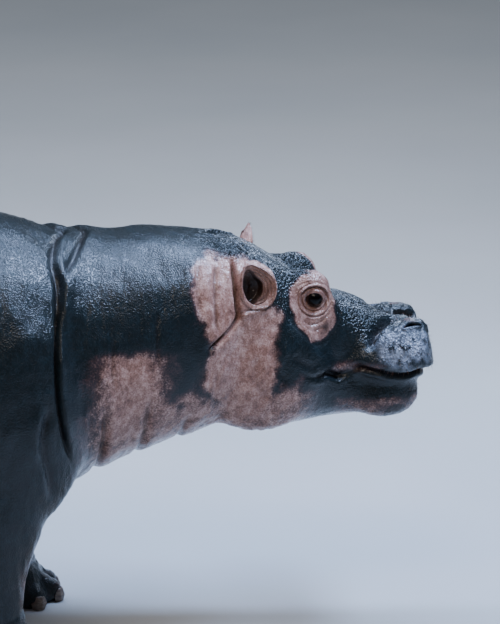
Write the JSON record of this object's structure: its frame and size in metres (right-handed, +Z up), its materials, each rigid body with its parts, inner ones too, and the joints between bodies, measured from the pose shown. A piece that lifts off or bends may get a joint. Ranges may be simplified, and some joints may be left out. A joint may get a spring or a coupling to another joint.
{
  "type": "hippopotamus",
  "caption": "Life-size common hippopotamus standing on four legs with its head held level and its mouth closed, a still display model.",
  "frame": {"origin": "on the floor, under the middle of the whole animal's box", "axes": "+X towards the muzzle, +Y towards the animal's left side, +Z up"},
  "size_m": [3.0424, 0.9487, 1.3761],
  "materials": {
    "skin": "wet dark grey skin with pink patches round the eyes and ears, on the cheek and under the neck",
    "ear_skin": "pink skin, dark inside",
    "eye": "wet dark brown eye",
    "nail": "dull grey-brown horn"
  },
  "bodies": {
    "root": {"ear_left": "ear_skin", "ear_right": "ear_skin", "eye_left": "eye", "eye_right": "eye", "forefoot_left": "skin", "forefoot_right": "skin", "foreleg_left": "skin", "foreleg_right": "skin", "head": "skin", "hindfoot_left": "skin", "hindfoot_right": "skin", "hindleg_left": "skin", "hindleg_right": "skin", "lower_jaw": "skin", "nail_forefoot_left_1": "nail", "nail_forefoot_left_2": "nail", "nail_forefoot_left_3": "nail", "nail_forefoot_left_4": "nail", "nail_forefoot_right_1": "nail", "nail_forefoot_right_2": "nail", "nail_forefoot_right_3": "nail", "nail_forefoot_right_4": "nail", "nail_hindfoot_left_1": "nail", "nail_hindfoot_left_2": "nail", "nail_hindfoot_left_3": "nail", "nail_hindfoot_left_4": "nail", "nail_hindfoot_right_1": "nail", "nail_hindfoot_right_2": "nail", "nail_hindfoot_right_3": "nail", "nail_hindfoot_right_4": "nail", "neck": "skin", "tail": "skin", "trunk": "skin"}
  },
  "joints": []
}
